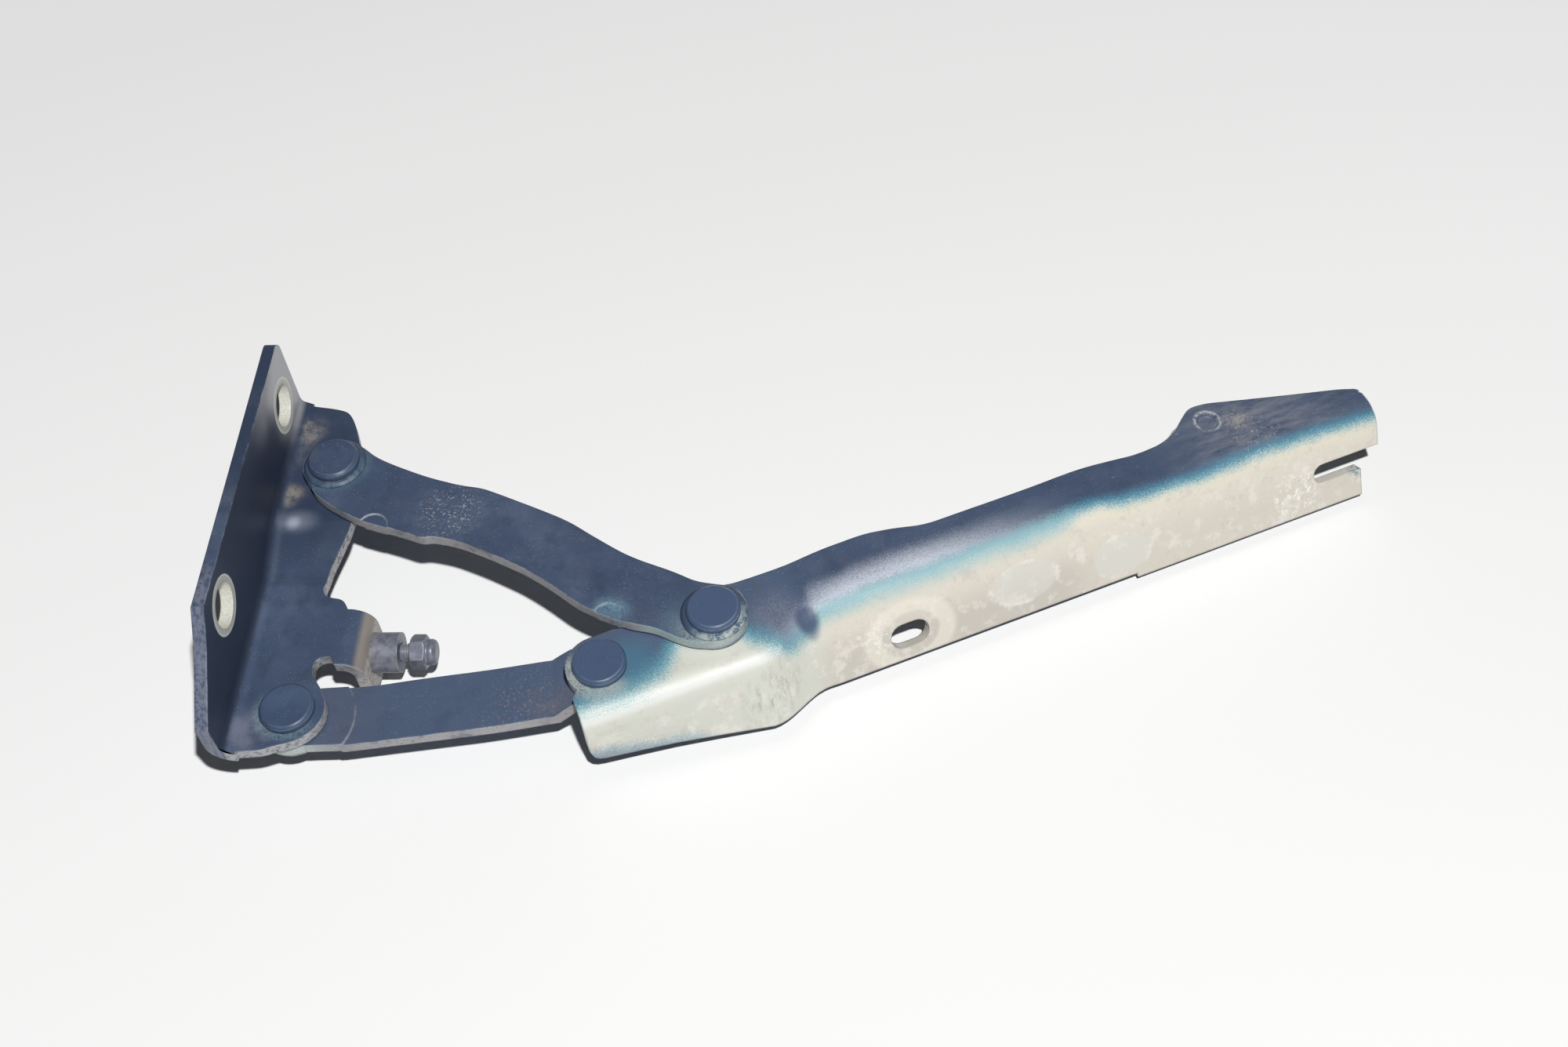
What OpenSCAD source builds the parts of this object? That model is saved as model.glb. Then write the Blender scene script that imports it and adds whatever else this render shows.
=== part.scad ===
// Bonnet hinge, open: a pressed bracket, two links, an arm, four riveted pivots and a closing stop.
// Origin: centre of the lower bolt hole, on the mounting face. +X leads to the links, +Z is up.

/* [Plates] */
// Thickness of every pressed plate
plate_t = 4; // [3:0.5:4.5]
// Running gap between two plates at a pivot
plate_gap = 1; // [0.8:0.1:1.4]
// Depth of the webs' top face below the lower bolt hole
web_drop = 19.5; // [17:0.5:24]
// Inside radius of the bracket's bends
bend_in = 4; // [3:0.5:5]

/* [Bracket] */
// Height of the upper bolt hole above the lower one
bolt_pitch = 85.3; // [80:1:95]
// How much nearer to the web the upper bolt hole is
bolt_offset = 4.7; // [0:0.1:6]
// Diameter of the two bolt holes
bolt_hole_d = 14.5; // [10:0.5:16]
// Length of the mounting flange above the upper bolt hole
flange_above = 13.5; // [11:0.5:18]
// Length of the mounting flange below the lower bolt hole
flange_below = 38; // [36:1:42]
// Width of the mounting flange on the side away from the web
flange_lip = 13.1; // [11:0.5:18]
// Distance of the upper pivot from the mounting face
upper_pivot_in = 22.3; // [21:0.1:24]
// Height of the upper pivot above the lower bolt hole
upper_pivot_up = 67.4; // [62:0.2:72]
// Distance of the lower pivot from the mounting face
lower_pivot_in = 21.2; // [20:0.1:23]
// Depth of the lower pivot below the lower bolt hole
lower_pivot_down = 22.5; // [21:0.5:24]
// Radius of the ears that carry the pivots
ear_r = 11.8; // [11:0.2:13]

/* [Closing stop] */
// Distance of the lug's outer face from the mounting face
lug_reach = 41.5; // [40:0.5:44]
// Width of the lug
lug_w = 21; // [18:0.5:22]
// Height of the stop screw's axis above the lower bolt hole
stop_up = 4.6; // [4:0.1:7]
// Radius of the lug's lower end about the stop screw
lug_end_r = 12.5; // [12:0.5:14]
// Diameter of the stop's collar
boss_d = 13; // [11:0.5:16]
// Length of the stop's collar
boss_len = 9; // [7:0.5:12]
// Diameter of the stop screw's shank
screw_d = 6; // [5:1:8]
// Shank that shows between the collar and the hexagon
screw_show = 3.5; // [2:0.5:6]
// Shank that reaches back through the lug
screw_tail = 4.5; // [2:0.5:6]
// Width across the flats of the screw's hexagon
hex_af = 10; // [9:0.5:13]
// Length of the screw's hexagon
hex_len = 4.8; // [4:0.2:6]
// Diameter of the screw's domed tip
tip_d = 8.5; // [7:0.5:9]
// Length of the screw's domed tip
tip_len = 3.2; // [2.5:0.1:4]

/* [Links] */
// Distance between the pivots of the upper link
upper_link_len = 144.2; // [140:0.2:150]
// Direction of the upper link when the hinge is open
upper_link_rest = -25.5; // [-27:0.1:-24]
// Width of the upper link
upper_link_w = 25; // [23:0.5:26]
// Distance between the pivots of the lower link
lower_link_len = 97.1; // [94:0.1:100]
// Direction of the lower link when the hinge is open
lower_link_rest = 7.3; // [6:0.1:8.5]
// Width of the lower link
lower_link_w = 21; // [20:0.5:22]
// Radius of the round ends of both links
link_eye_r = 10.8; // [10.5:0.1:11.5]
// Length over which the lower link climbs to the arm
link_climb = 6.8; // [6.2:0.1:8]
// Depth of the shallow step round the lower link's eye
link_step = 0.8; // [0.4:0.1:1.2]
// Radius of that step about the pivot
link_step_r = 19.5; // [17:0.5:22]
// Radius of the upper link's guide pads
pad_r = 4.8; // [4:0.2:5.5]
// How far the guide pads are pressed down
pad_depth = 0.6; // [0.3:0.1:0.7]

/* [Bonnet arm] */
// Length of the arm from its upper pivot to its free end
arm_len = 234.5; // [220:0.5:250]
// Angle from the line through the arm's two pivots to the arm's length
arm_turn = -0.8; // [-4:0.1:3]
// Half the width of the arm's web at its pivots
arm_half_w = 12; // [11.5:0.5:13]
// Depth of the arm's flange, which ends level with the lug
arm_flange_h = 27; // [25:0.5:30]
// Lean of the arm's flange along its straight length
arm_lean = 25; // [15:1:30]
// Outside radius of the arm's bend along its straight length
arm_bend_r = 10; // [8:0.5:12]
// Distance of the flange's upper corner line from the pivots' line, straight length
corner_near = 9.6; // [8:0.2:11]
// Distance of the flange's upper corner line from the pivots' line, beside the pivots
corner_far = 18.5; // [17.5:0.5:21]
// Outside radius of the arm's bend beside the pivots
arm_bend_far_r = 8; // [7:0.5:9]
// Length of the closed slot for the bonnet bolt
slot_len = 13.5; // [10:0.5:16]
// Width of the closed slot
slot_w = 9; // [6:0.5:11]
// Width of the open slot at the free end
open_slot_w = 7; // [6:0.5:8]
// Diameter of the locating dimple
dimple_d = 7.8; // [6:0.2:9]
// Depth of the locating dimple
dimple_depth = 1.6; // [0.8:0.1:2]

/* [Rivets, bushes and washers] */
// Diameter of the rivet heads
head_d = 17; // [15:0.5:18]
// Height of the rivet heads
head_h = 2.7; // [2:0.1:3]
// Width of the bevel round the rivet heads
head_bevel = 0.9; // [0.5:0.1:1.2]
// Shank diameter of the rivets
shank_d = 9; // [8:0.5:10]
// Shank diameter of the rivet that joins the upper link and the arm
arm_shank_d = 7; // [6:0.5:7.5]
// Diameter of the rivets' set tails
tail_d = 13; // [12:0.5:14]
// Height of the rivets' set tails
tail_h = 3; // [2:0.2:3.4]
// Wall of the bearing bushes
bush_wall = 2; // [1:0.25:2.5]
// Diameter of the bushes' rims and of the washers
rim_d = 21; // [19:0.5:21.6]
// Diameter of the washer beside the lower link's climb
small_washer_d = 15; // [14.4:0.2:15.2]
// Thickness of the bush rims above the upper link and of the washers
rim_t = 1; // [0.8:0.1:1.2]
// Radial clearance of every shank in its bore
fit_gap = 0.05; // [0.03:0.01:0.08]
// End play at every pivot
end_gap = 0.1; // [0.05:0.05:0.2]

/* [Hidden] */
$fn = 96;

// Every cut runs past its plate by this much
overrun = plate_t / 2;
// Solids of one plate overlap by this much where they meet
overlap = plate_t / 4;
// Share of the shorter side that a rounded corner takes, on closed and on open edges
corner_share = 0.45;
edge_share = 0.42;
corner_steps = 4;
arc_steps = 10;

paint = [0.21, 0.27, 0.40];
primer = [0.86, 0.84, 0.79];
zinc = [0.65, 0.65, 0.63];
bronze = [0.60, 0.58, 0.54];

// Pivot centres in plan
pivot_bu = [upper_pivot_in, upper_pivot_up];
pivot_bl = [lower_pivot_in, -lower_pivot_down];
pivot_au = pivot_bu + way(upper_link_rest, upper_link_len);
pivot_al = pivot_bl + way(lower_link_rest, lower_link_len);
// The arm follows the line through its two pivots
pivot_line = pivot_au - pivot_al;
pivot_span = norm(pivot_line);
arm_rest = atan2(pivot_line[1], pivot_line[0]) + arm_turn;
// The arm's lower pivot, seen along the arm from its upper one
arm_eye = turn(pivot_al - pivot_au, -arm_rest);

floor_z = level(0) - arm_flange_h;
flange_top = bolt_pitch + flange_above;
bend_out = bend_in + plate_t;
// The plate turns down from the web to the lug here
lug_fold = lug_reach - bend_out;
stop_z = floor_z + lug_end_r;
boss_end = lug_reach + boss_len;
hex_start = boss_end + screw_show;
hex_end = hex_start + hex_len;
shank_r = shank_d / 2;
arm_shank_r = arm_shank_d / 2;
bush_r = shank_r + fit_gap + bush_wall;
arm_bush_r = arm_shank_r + fit_gap + bush_wall;

// Where the web steps down, as shares of the bolt pitch
joggle_top = 0.551 * bolt_pitch;
joggle_foot = 0.305 * bolt_pitch;

// Top face of the plates, counted in plates below the upper web
function level(n) = -web_drop - n * (plate_t + plate_gap);
function way(angle, reach) = [reach * cos(angle), reach * sin(angle)];
function turn(p, a) = [p[0] * cos(a) - p[1] * sin(a), p[0] * sin(a) + p[1] * cos(a)];
function mix(a, b, t) = a + (b - a) * t;
function ease(t) = t < 0 ? 0 : t > 1 ? 1 : t * t * (3 - 2 * t);
function sized(shares, x, y) = [for (s = shares) [s[0] * x, s[1] * y]];
// Lower face of a bent plate under the points given, moved along by the bend's set-back
function under(points, bend = 0) =
    [for (i = [len(points) - 1:-1:0]) points[i] + [plate_t * tan(bend / 2), -plate_t]];
// One rounded corner at b, cut back by a share of its shorter side
function corner(a, b, c, share) =
    let (reach = share * min(norm(a - b), norm(c - b)),
        start = b + reach * (a - b) / norm(a - b),
        end = b + reach * (c - b) / norm(c - b))
    [for (k = [0:corner_steps]) let (t = k / corner_steps)
        (1 - t) * (1 - t) * start + 2 * t * (1 - t) * b + t * t * end];
// A closed outline with all its corners rounded
function soften(points, share = corner_share) =
    let (n = len(points))
    [for (i = [0:n - 1])
        each corner(points[(i + n - 1) % n], points[i], points[(i + 1) % n], share)];
// An open edge with its corners rounded between two sharp ends
function soften_edge(points, share = edge_share) =
    let (n = len(points))
    concat([points[0]],
        [for (i = [1:n - 2]) each corner(points[i - 1], points[i], points[i + 1], share)],
        [points[n - 1]]);
function arc(centre, r, from, to) =
    [for (k = [0:corner_steps]) centre + way(mix(from, to, k / corner_steps), r)];
function slot_outline(length, width) =
    [for (side = [0, 1], k = [0:arc_steps]) let (a = 180 * k / arc_steps - 90 + 180 * side)
        way(a, width / 2) + [(0.5 - side) * (length - width), 0]];

// Extrudes a profile drawn in Y and Z along X
module along_x(from, length) {
    translate([from, 0, 0])
        rotate([90, 0, 90])
            linear_extrude(length)
                children();
}

// Extrudes a profile drawn in X and Z along Y
module along_y(from, length) {
    translate([0, from + length, 0])
        rotate([90, 0, 0])
            linear_extrude(length)
                children();
}

module at(p) {
    translate([p[0], p[1], 0])
        children();
}

module bore(r, top, depth) {
    translate([0, 0, top - depth - overrun])
        cylinder(r = r, h = depth + 2 * overrun);
}

// Solid between equal rings of points, given from one end to the other
module skin(rings) {
    n = len(rings[0]);
    m = len(rings);
    polyhedron(
        points = [for (ring = rings) each ring],
        faces = concat(
            [[for (i = [n - 1:-1:0]) i]],
            [[for (i = [0:n - 1]) (m - 1) * n + i]],
            [for (j = [0:m - 2], i = [0:n - 1]) let (k = (i + 1) % n)
                each [[j * n + i, j * n + k, (j + 1) * n + k],
                    [j * n + i, (j + 1) * n + k, (j + 1) * n + i]]]));
}

// BRACKET

// Flange outline below the lower hole, as shares of flange_below and flange_lip
flange_slope_shares = [[-0.26, 1], [-0.5, 0.27], [-0.85, -0.5], [-1, -0.85]];
// Top end of the web down to the upper ear, shares of upper_pivot_in and bolt_pitch
web_head_shares = [[0.717, 1.13], [0.928, 1.113], [1.045, 1.07], [1.139, 1.01], [1.224, 0.94]];
// From the upper ear down the joggle to the lobe that carries the lug, same shares
web_edge_shares = [[1.377, 0.565], [1.332, 0.506], [1.233, 0.431], [1.135, 0.35],
    [1.072, 0.27], [1.12, 0.243]];
// Top of that lobe, shares of lug_fold and lug_w above the stop's axis
lobe_shares = [[0.8, 0.72], [0.93, 0.68]];
// Edge of the notch between the lug and the lower ear, shares of lug_fold and lower_pivot_down
notch_shares = [[0.93, -0.13], [0.85, -0.14], [0.79, -0.2], [0.775, -0.3], [0.8, -0.46]];
// Lower end of the web from the ear to the flange, shares of lower_pivot_in and flange_below
web_foot_shares = [[0.925, -0.92], [0.735, -0.96], [0.514, -0.97]];

module web_outline() {
    polygon(soften_edge(concat(
        [[bend_out, flange_top - overlap]],
        sized(web_head_shares, upper_pivot_in, bolt_pitch),
        arc(pivot_bu, ear_r, 40, -35),
        sized(web_edge_shares, upper_pivot_in, bolt_pitch),
        [for (p = sized(lobe_shares, lug_fold, lug_w)) p + [0, stop_up]],
        [[lug_fold, stop_up + lug_w / 2], [lug_fold, stop_up - lug_w / 2]],
        sized(notch_shares, lug_fold, lower_pivot_down),
        arc(pivot_bl, ear_r, 40, -70),
        sized(web_foot_shares, lower_pivot_in, flange_below),
        [[bend_out, -flange_below + overlap]])));
}

module web_profile() {
    top = [[-flange_below - overrun, level(1)], [joggle_foot, level(1)],
        [joggle_top, level(0)], [flange_top + overrun, level(0)]];
    polygon(concat(top, under(top)));
}

module web() {
    intersection() {
        translate([0, 0, level(1) - plate_t - overrun])
            linear_extrude(level(0) - level(1) + plate_t + 2 * overrun)
                web_outline();
        along_x(bend_out, lug_fold + ear_r)
            web_profile();
    }
}

module flange() {
    along_x(0, plate_t)
        polygon(concat(
            [[-flange_below, level(1) + bend_in]],
            [for (s = [len(flange_slope_shares) - 1:-1:0])
                [flange_slope_shares[s][0] * flange_below, flange_slope_shares[s][1] * flange_lip]],
            [for (k = [0:arc_steps]) [flange_top - bend_in, flange_lip - bend_in]
                + way(90 - 90 * k / arc_steps, bend_in)],
            [[flange_top, level(0) + bend_in], [joggle_top, level(0) + bend_in],
                [joggle_foot, level(1) + bend_in]]));
}

function bend_ring(y, top) =
    let (c = [bend_out, top + bend_in])
    concat(
        [for (k = [0:arc_steps]) let (p = c + way(180 + 90 * k / arc_steps, bend_out))
            [p[0], y, p[1]]],
        [for (k = [arc_steps:-1:0]) let (p = c + way(180 + 90 * k / arc_steps, bend_in))
            [p[0], y, p[1]]]);

module flange_bend() {
    skin([bend_ring(-flange_below, level(1)), bend_ring(joggle_foot, level(1)),
        bend_ring(joggle_top, level(0)), bend_ring(flange_top, level(0))]);
}

module lug() {
    along_y(stop_up - lug_w / 2, lug_w)
        translate([lug_fold, level(1) - bend_out]) {
            intersection() {
                difference() {
                    circle(r = bend_out);
                    circle(r = bend_in);
                }
                square(bend_out);
            }
            translate([-overlap, bend_in])
                square([overlap, plate_t]);
        }
    along_x(lug_reach - plate_t, plate_t)
        intersection() {
            translate([stop_up - lug_w / 2, floor_z])
                square([lug_w, level(1) - bend_out - floor_z]);
            translate([stop_up, stop_z]) {
                circle(r = lug_end_r);
                translate([-lug_w, 0])
                    square([2 * lug_w, lug_end_r + arm_flange_h]);
            }
        }
}

module body_bracket() {
    color(paint)
        difference() {
            union() {
                flange();
                flange_bend();
                web();
                lug();
            }
            for (hole = [[0, 0], [bolt_pitch, -bolt_offset]])
                translate([-overrun, hole[0], hole[1]])
                    rotate([0, 90, 0])
                        cylinder(d = bolt_hole_d, h = plate_t + 2 * overrun);
            at(pivot_bu)
                bore(shank_r + fit_gap, level(0), plate_t);
            at(pivot_bl)
                bore(shank_r + fit_gap, level(1), plate_t);
            translate([lug_reach - plate_t - overrun, stop_up, stop_z])
                rotate([0, 90, 0])
                    cylinder(d = screw_d + 2 * fit_gap, h = plate_t + 2 * overrun);
        }
}

// CLOSING STOP

module on_stop(x) {
    translate([x, stop_up, stop_z])
        rotate([0, 90, 0])
            children();
}

module stop_boss() {
    color(paint)
        difference() {
            on_stop(lug_reach)
                cylinder(d = boss_d, h = boss_len);
            on_stop(lug_reach - overrun)
                cylinder(d = screw_d + 2 * fit_gap, h = boss_len + 2 * overrun);
        }
}

module stop_screw() {
    tail_start = lug_reach - plate_t - screw_tail;
    dome_r = (tip_d * tip_d / 4 + tip_len * tip_len) / (2 * tip_len);
    color(paint) {
        on_stop(tail_start)
            cylinder(d = screw_d, h = hex_start - tail_start);
        on_stop(hex_start)
            cylinder(d = hex_af / cos(30), h = hex_len, $fn = 6);
        on_stop(hex_end)
            rotate_extrude()
                intersection() {
                    translate([0, tip_len - dome_r])
                        circle(r = dome_r);
                    square([tip_d, tip_len]);
                }
    }
}

// LINKS

// Outline of the upper link, shares of its length and of half its width
upper_link_shares = [[-0.031, -0.72], [0.001, -1.04], [0.042, -1.17], [0.09, -1.25],
    [0.141, -1.3], [0.218, -1.19], [0.257, -1.14], [0.306, -1.1], [0.325, -0.95], [0.381, -0.8],
    [0.465, -0.77], [0.569, -0.82], [0.641, -0.96], [0.714, -1.16], [0.751, -1.2],
    [0.841, -1.17], [0.899, -0.99], [0.945, -1.01], [0.991, -0.98], [1.035, -0.77],
    [1.06, -0.5], [1.073, -0.08], [1.067, 0.27], [1.058, 0.56], [1.026, 0.87], [0.997, 0.9],
    [0.964, 0.78], [0.924, 0.66], [0.87, 0.69], [0.757, 0.63], [0.661, 0.8], [0.583, 0.97],
    [0.497, 0.98], [0.39, 0.97], [0.354, 0.95], [0.304, 0.79], [0.223, 0.66], [0.132, 0.63],
    [0.075, 0.66], [0.028, 0.82], [-0.014, 0.82]];
// Guide pads on the lower edge, same shares
pad_shares = [[0.184, -1.3], [0.795, -1.17]];
// Outline of the lower link between its eyes, shares of its length and of half its width
lower_link_shares = [[0.031, -0.98], [0.082, -1.01], [0.158, -1.09], [0.244, -1.08],
    [0.619, -1.05], [0.719, -1.01], [0.847, -0.94], [0.947, -0.93], [0.947, 0.94],
    [0.853, 1.05], [0.722, 0.99], [0.62, 0.95], [0.418, 0.92], [0.262, 0.86], [0.172, 0.89],
    [0.031, 0.99]];

module on_upper_link() {
    at(pivot_bu)
        rotate(upper_link_rest)
            children();
}

module on_lower_link() {
    at(pivot_bl)
        rotate(lower_link_rest)
            children();
}

module upper_link_outline() {
    polygon(soften(sized(upper_link_shares, upper_link_len, upper_link_w / 2)));
    circle(r = link_eye_r);
}

module upper_link() {
    top = level(-1);
    color(paint)
        on_upper_link()
            difference() {
                union() {
                    translate([0, 0, top - plate_t])
                        linear_extrude(plate_t)
                            upper_link_outline();
                    translate([0, 0, top - plate_t - pad_depth])
                        linear_extrude(plate_t)
                            intersection() {
                                upper_link_outline();
                                for (p = sized(pad_shares, upper_link_len, upper_link_w / 2))
                                    at(p)
                                        circle(r = pad_r - pad_depth);
                            }
                }
                for (p = sized(pad_shares, upper_link_len, upper_link_w / 2))
                    at(p)
                        translate([0, 0, top - pad_depth])
                            cylinder(r = pad_r, h = overrun);
                bore(bush_r, top, plate_t);
                translate([upper_link_len, 0, 0])
                    bore(arm_bush_r, top, plate_t);
            }
}

module lower_link_profile() {
    low = level(2) - link_step;
    rise = atan((level(1) - low) / link_climb);
    // The lower face is level again just before the washer
    head = lower_link_len - small_washer_d / 2 - plate_t * tan(rise / 2) - 2 * end_gap;
    top = [[-link_step_r, low], [head - link_climb, low], [head, level(1)],
        [lower_link_len + link_step_r, level(1)]];
    polygon(concat(top, under(top, rise)));
}

module lower_link() {
    low = level(2) - link_step;
    color(paint)
        on_lower_link()
            difference() {
                intersection() {
                    translate([0, 0, low - plate_t - overrun])
                        linear_extrude(level(1) - low + plate_t + 2 * overrun) {
                            polygon(soften(sized(lower_link_shares, lower_link_len,
                                lower_link_w / 2)));
                            circle(r = link_eye_r);
                            translate([lower_link_len, 0])
                                circle(r = link_eye_r - end_gap);
                        }
                    union() {
                        along_y(-lower_link_w, 2 * lower_link_w)
                            lower_link_profile();
                        translate([0, 0, level(2) - plate_t])
                            cylinder(r = link_step_r, h = plate_t);
                    }
                }
                translate([0, 0, low - plate_t - overrun])
                    cylinder(r = link_step_r - link_step, h = link_step + overrun);
                bore(bush_r, level(2), plate_t);
                translate([lower_link_len, 0, 0])
                    bore(bush_r, level(1), plate_t);
            }
}

// BONNET ARM

// Places along the arm are shares of arm_len, or of pivot_span where they are negative
// Free edge of the web from the far end back to the lower pivot, across in shares of arm_half_w
arm_edge_shares = [[0.996, 0.13], [0.977, 0.28], [0.868, 0.89], [0.784, 1.38], [0.758, 1.41],
    [0.736, 1.09], [0.717, 0.79], [0.689, 0.57], [0.648, 0.52], [0.565, 0.72], [0.481, 0.67],
    [0.384, 0.68], [0.323, 0.68], [0.28, 0.92], [0.241, 1.06], [0.174, 1.05], [0.119, 0.94],
    [0.069, 0.95], [0.04, 0.97], [0.009, 1.15], [-0.16, 1.27], [-0.337, 1.23],
    [-0.485, 1.0], [-0.589, 0.77], [-0.712, 0.82], [-0.828, 0.86], [-0.994, 0.86]];
// Depth of the flange's edge along the arm, in shares of arm_flange_h
flange_edge_shares = [[-1.3, 0.56], [-1.276, 0.67], [-1.24, 0.72], [-1.178, 0.74],
    [-0.601, 0.8], [0.006, 0.89], [0.034, 0.91], [0.145, 0.95]];
// Places of the rings that shape the bend beside the pivots
ring_shares = [-1.3, -1.276, -1.24, -1.178, -0.92, -0.601, -0.276, 0.006, 0.034, 0.043,
    0.052, 0.06, 0.069, 0.077, 0.086, 0.094, 0.103, 0.111, 0.12, 0.128, 0.145];
// The bend moves in between these shares of arm_len, and the web's seam just behind it
jog_shares = [0.034, 0.128];
seam_shares = [0.034, 0.111];
seam_share = 0.49;
// The flange steps down here, and this share of its depth stays above
step_share = 0.6;
short_share = 0.95;
// Lean of the flange at the near end and at the jog, shares of arm_lean
lean_shares = [0.2, 0.88];
// Slots in the flange, shares of arm_len along and of arm_flange_h down the slope
slot_place_shares = [0.252, 0.73];
open_slot_shares = [0.892, 0.605];
finger_share = 0.97;
// The dimple, shares of arm_len and arm_half_w
dimple_shares = [0.772, 0.78];
// Slot under the upper link that gives the open pivot its play, shares of pivot_span
play_from_shares = [-0.0706, 0.0368];
play_to_shares = [-0.267, 0.1062];
play_share = 0.097;

near_end = along(ring_shares[0]);
straight_from = 0.145 * arm_len;
seam_far = -seam_share * corner_far;

function along(share) = share * (share < 0 ? pivot_span : arm_len);
function jog(s) = ease((s / arm_len - jog_shares[0]) / (jog_shares[1] - jog_shares[0]));
function lean_at(s) = s < jog_shares[0] * arm_len
    ? arm_lean * mix(lean_shares[0], lean_shares[1],
        (s - near_end) / (jog_shares[0] * arm_len - near_end))
    : arm_lean * mix(lean_shares[1], 1, jog(s));
function corner_at(s) = -mix(corner_far, corner_near, jog(s));
function bend_at(s) = mix(arm_bend_far_r, arm_bend_r, jog(s));
function edge_at(s) = level(0)
    - arm_flange_h * lookup(s / (s < 0 ? pivot_span : arm_len), flange_edge_shares);
function seam_at(s) = mix(seam_far, -overlap,
    min(1, max(0, (s / arm_len - seam_shares[0]) / (seam_shares[1] - seam_shares[0]))));

// Cross-section of the bend and flange, across and up, its lower face first
function arm_section(s, edge_z) =
    let (lean = lean_at(s),
        r = bend_at(s),
        c = [corner_at(s) + r * tan(45 - lean / 2), level(0) - r],
        faces = [r, r - plate_t],
        arcs = [for (f = faces) [for (k = [0:arc_steps])
            c + way(90 + (90 - lean) * k / arc_steps, f)]],
        feet = [for (arc = arcs) arc[arc_steps]
            + (arc[arc_steps][1] - edge_z) * [-tan(lean), -1]])
    concat([[seam_at(s), level(0) - plate_t]], arcs[1], [feet[1], feet[0]],
        [for (k = [arc_steps:-1:0]) arcs[0][k]], [[seam_at(s), level(0)]]);

module on_arm() {
    at(pivot_au)
        rotate(arm_rest)
            children();
}

// Frame on the outer face of the sloping flange: X along the arm, Y up the slope
module on_slope(s, down) {
    translate([s, -corner_near - down * sin(arm_lean), level(0) - down * cos(arm_lean)])
        rotate([90 - arm_lean, 0, 0])
            children();
}

module slope_cut(outline) {
    translate([0, 0, -plate_t - overrun])
        linear_extrude(plate_t + 2 * overrun)
            polygon(outline);
}

module straight_flange() {
    step = step_share * arm_len;
    along_x(straight_from, step - straight_from)
        polygon(arm_section(straight_from, level(0) - short_share * arm_flange_h));
    along_x(step, arm_len - step)
        polygon(arm_section(straight_from, floor_z));
}

module arm_web() {
    eye = arm_eye;
    translate([0, 0, level(0) - plate_t])
        linear_extrude(plate_t) {
            polygon(concat(
                [[near_end, seam_far], [seam_shares[0] * arm_len, seam_far],
                    [seam_shares[1] * arm_len, -overlap], [arm_len, -overlap]],
                soften(concat([[arm_len, 0]],
                    [for (s = arm_edge_shares) [along(s[0]), s[1] * arm_half_w]],
                    [[near_end, eye[1]]]), edge_share)));
            at(eye)
                circle(r = link_eye_r);
        }
}

module bonnet_arm() {
    open_slot = [open_slot_shares[0] * arm_len, open_slot_shares[1] * arm_flange_h];
    play = [for (p = [play_from_shares, play_to_shares]) p * pivot_span];
    play_r = arm_shank_r + play_share * pivot_span;
    color(primer)
        on_arm()
            difference() {
                union() {
                    arm_web();
                    skin([for (share = ring_shares) let (s = along(share))
                        [for (p = arm_section(s, edge_at(s))) [s, p[0], p[1]]]]);
                    straight_flange();
                }
                at(arm_eye)
                    bore(shank_r + fit_gap, level(0), plate_t);
                // Play for the open pivot
                translate([play[0][0], play[0][1], 0])
                    rotate(atan2(play[1][1] - play[0][1], play[1][0] - play[0][0]))
                        translate([norm(play[1] - play[0]) / 2, 0,
                            level(0) - plate_t - overrun])
                            linear_extrude(plate_t + 2 * overrun)
                                polygon(slot_outline(norm(play[1] - play[0]) + 2 * play_r,
                                    2 * play_r));
                // Closed slot for the bonnet bolt
                on_slope(slot_place_shares[0] * arm_len, slot_place_shares[1] * arm_flange_h)
                    slope_cut(slot_outline(slot_len, slot_w));
                // Open slot and the shorter finger below it
                on_slope(open_slot[0] + arm_len / 2, open_slot[1])
                    slope_cut(slot_outline(arm_len, open_slot_w));
                on_slope(finger_share * arm_len, open_slot[1])
                    slope_cut([[0, 0], [0, -arm_flange_h], [arm_len, -arm_flange_h],
                        [arm_len, 0]]);
                // Locating dimple
                translate([dimple_shares[0] * arm_len, dimple_shares[1] * arm_half_w,
                    level(0) - dimple_depth])
                    cylinder(d1 = dimple_d - dimple_depth, d2 = dimple_d, h = dimple_depth);
            }
}

// PIVOTS

// A rivet from its head's seat down to the face on which its tail is set
module rivet(place, d, seat, base) {
    head_r = head_d / 2;
    top = seat + head_h;
    tail_r = tail_d / 2;
    foot = base - tail_h;
    at(place)
        rotate_extrude()
            polygon([[0, top], [head_r - head_bevel, top], [head_r, top - head_bevel],
                [head_r, seat], [d / 2, seat], [d / 2, base], [tail_r, base],
                [tail_r, foot + head_bevel], [tail_r - head_bevel, foot], [0, foot]]);
}

// A flanged bush: its rim from rim_top down, then the sleeve to the foot
module bush(place, d, rim_top, rim_h, foot) {
    in_r = d / 2 + fit_gap;
    rim_r = rim_d / 2;
    at(place)
        rotate_extrude()
            polygon([[in_r, rim_top], [rim_r - rim_h, rim_top], [rim_r, rim_top - rim_h],
                [in_r + bush_wall, rim_top - rim_h], [in_r + bush_wall, foot], [in_r, foot]]);
}

module ring(place, d, top, h, outer_d = rim_d) {
    at(place)
        translate([0, 0, top - h])
            difference() {
                cylinder(d = outer_d, h = h);
                translate([0, 0, -overrun])
                    cylinder(d = d + 2 * fit_gap, h = h + 2 * overrun);
            }
}

// Underside of the plate whose top is at level n
function below(n) = level(n) - plate_t;
inner_h = plate_gap - end_gap;

module rivet_bracket_upper() {
    color(paint)
        rivet(pivot_bu, shank_d, level(-1) + rim_t + end_gap, below(0));
}

module rivet_arm_upper() {
    color(paint)
        rivet(pivot_au, arm_shank_d, level(-1) + rim_t, below(0) - end_gap - rim_t);
}

module rivet_arm_lower() {
    color(paint)
        rivet(pivot_al, shank_d, level(0), below(1) - end_gap - rim_t);
}

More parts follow.
